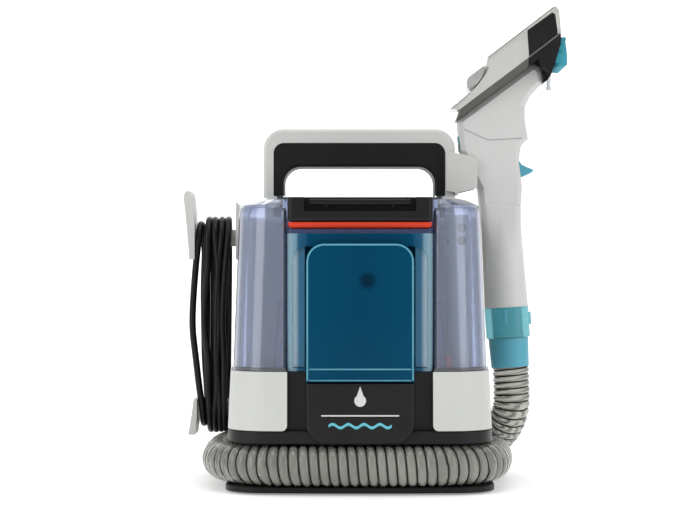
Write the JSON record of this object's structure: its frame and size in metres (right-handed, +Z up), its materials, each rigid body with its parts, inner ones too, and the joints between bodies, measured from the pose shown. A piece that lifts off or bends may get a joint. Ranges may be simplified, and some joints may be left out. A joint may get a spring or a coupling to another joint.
{
  "type": "spot extractor",
  "caption": "Portable spot extractor with two lift-off clear tanks, carry handle, ribbed suction hose, hand tool in a side cradle and mains lead on side hooks.",
  "frame": {"origin": "centre of the foot, on the floor", "axes": "+Z up, front of the machine towards -Y, hand tool towards +X"},
  "size_m": [0.3667, 0.2514, 0.4499],
  "materials": {
    "light_grey": "satin moulded",
    "satin_black": "satin moulded",
    "dark_grey": "satin moulded",
    "rubber": "matte",
    "lead_jacket": "smooth",
    "brass_pin": "bright",
    "hose_film": "translucent ribbed",
    "steel": "turned",
    "board_green": "lacquered",
    "smoke_clear": "clear tinted",
    "milky_clear": "frosted",
    "blue_clear": "clear tinted",
    "red_seal": "matte",
    "teal": "satin moulded",
    "teal_clear": "clear tinted",
    "nozzle_clear": "clear tinted"
  },
  "bodies": {
    "root": {"base_tray": "satin_black", "foot_pads": "rubber", "base_neck": "satin_black", "base_band": "satin_black", "lower_chassis": "satin_black", "front_apron": "satin_black", "side_panel_left": "light_grey", "side_panel_right": "light_grey", "tank_deck": "satin_black", "rear_housing": "light_grey", "rear_grille": "satin_black", "handle_shell": "light_grey", "handle_liner": "satin_black", "tool_holder": "light_grey", "cord_hook_upper": "light_grey", "cord_hook_lower": "light_grey", "cord_gland": "satin_black", "mains_tail": "lead_jacket", "lead_coil": "lead_jacket", "plug_tail": "lead_jacket", "plug_body": "lead_jacket", "plug_pins": "brass_pin", "hose_elbow": "satin_black", "hose_ring": "hose_film", "hose_riser": "hose_film", "motor_can": "steel", "fan_housing": "dark_grey", "suction_duct": "dark_grey", "pump_body": "dark_grey", "solution_line": "hose_film", "circuit_board": "board_green"},
    "recovery_tank": {"recovery_tank": "smoke_clear", "recovery_roof": "smoke_clear", "roof_gasket": "rubber", "standpipe": "milky_clear", "float_cage": "milky_clear", "inlet_valve": "red_seal"},
    "float": {"float_ball": "red_seal"},
    "solution_tank": {"solution_tank": "blue_clear", "tank_collar": "satin_black", "tank_valve": "satin_black", "hinge_pin": "steel"},
    "solution_lid": {"solution_lid": "satin_black", "lid_gasket": "red_seal"},
    "lid_latch": {"lid_latch": "dark_grey"},
    "hand_tool": {"tool_shell_front": "light_grey", "tool_shell_back": "light_grey", "tool_band": "dark_grey", "tool_collar": "teal_clear", "trigger_pin": "steel"},
    "hose_cuff": {"hose_cuff": "teal"},
    "trigger": {"trigger": "teal"},
    "nozzle_head": {"nozzle_window": "nozzle_clear", "nozzle_front": "satin_black", "nozzle_brush": "teal", "spray_tip": "milky_clear"},
    "nozzle_latch": {"nozzle_latch": "milky_clear"},
    "power_button": {"power_button": "dark_grey"},
    "fan": {"fan_impeller": "dark_grey", "motor_shaft": "steel"}
  },
  "joints": [
    {"name": "recovery_lift", "type": "slide", "parent": "root", "child": "recovery_tank", "axis": [0, 0, 1], "range_m": [0, 0.17]},
    {"name": "float_rise", "type": "slide", "parent": "recovery_tank", "child": "float", "axis": [0, 0, 1], "range_m": [0, 0.014]},
    {"name": "solution_lift", "type": "slide", "parent": "root", "child": "solution_tank", "axis": [0, 0, 1], "range_m": [0, 0.18]},
    {"name": "lid_hinge", "type": "hinge", "parent": "solution_tank", "child": "solution_lid", "pos_m": [0, -0.038, 0.262], "axis": [-1, 0, 0], "range_deg": [0, 85]},
    {"name": "latch_press", "type": "slide", "parent": "solution_lid", "child": "lid_latch", "axis": [0, 0, -1], "range_m": [0, 0.003], "stiffness_N_per_m": 400},
    {"name": "tool_lift", "type": "slide", "parent": "root", "child": "hand_tool", "axis": [0, 0, 1], "range_m": [0, 0.03], "deforming": ["hose_riser"]},
    {"name": "cuff_swivel", "type": "hinge", "parent": "hand_tool", "child": "hose_cuff", "pos_m": [0.1466, 0.048, 0.106], "axis": [-0.0651, 0, 0.9979], "continuous": true},
    {"name": "trigger_pull", "type": "hinge", "parent": "hand_tool", "child": "trigger", "pos_m": [0.149, 0.048, 0.309], "axis": [0, 1, 0], "range_deg": [0, 10], "stiffness_Nm_per_rad": 0.6},
    {"name": "nozzle_pull", "type": "slide", "parent": "hand_tool", "child": "nozzle_head", "axis": [0.8022, 0, 0.5971], "range_m": [0, 0.03]},
    {"name": "nozzle_release", "type": "slide", "parent": "nozzle_head", "child": "nozzle_latch", "axis": [0.5971, 0, -0.8022], "range_m": [0, 0.002], "stiffness_N_per_m": 400},
    {"name": "power_press", "type": "slide", "parent": "root", "child": "power_button", "axis": [0, 0, -1], "range_m": [0, 0.003], "stiffness_N_per_m": 400},
    {"name": "fan_spin", "type": "hinge", "parent": "root", "child": "fan", "pos_m": [0, 0.057, 0.2], "axis": [0, 0, 1], "continuous": true}
  ]
}
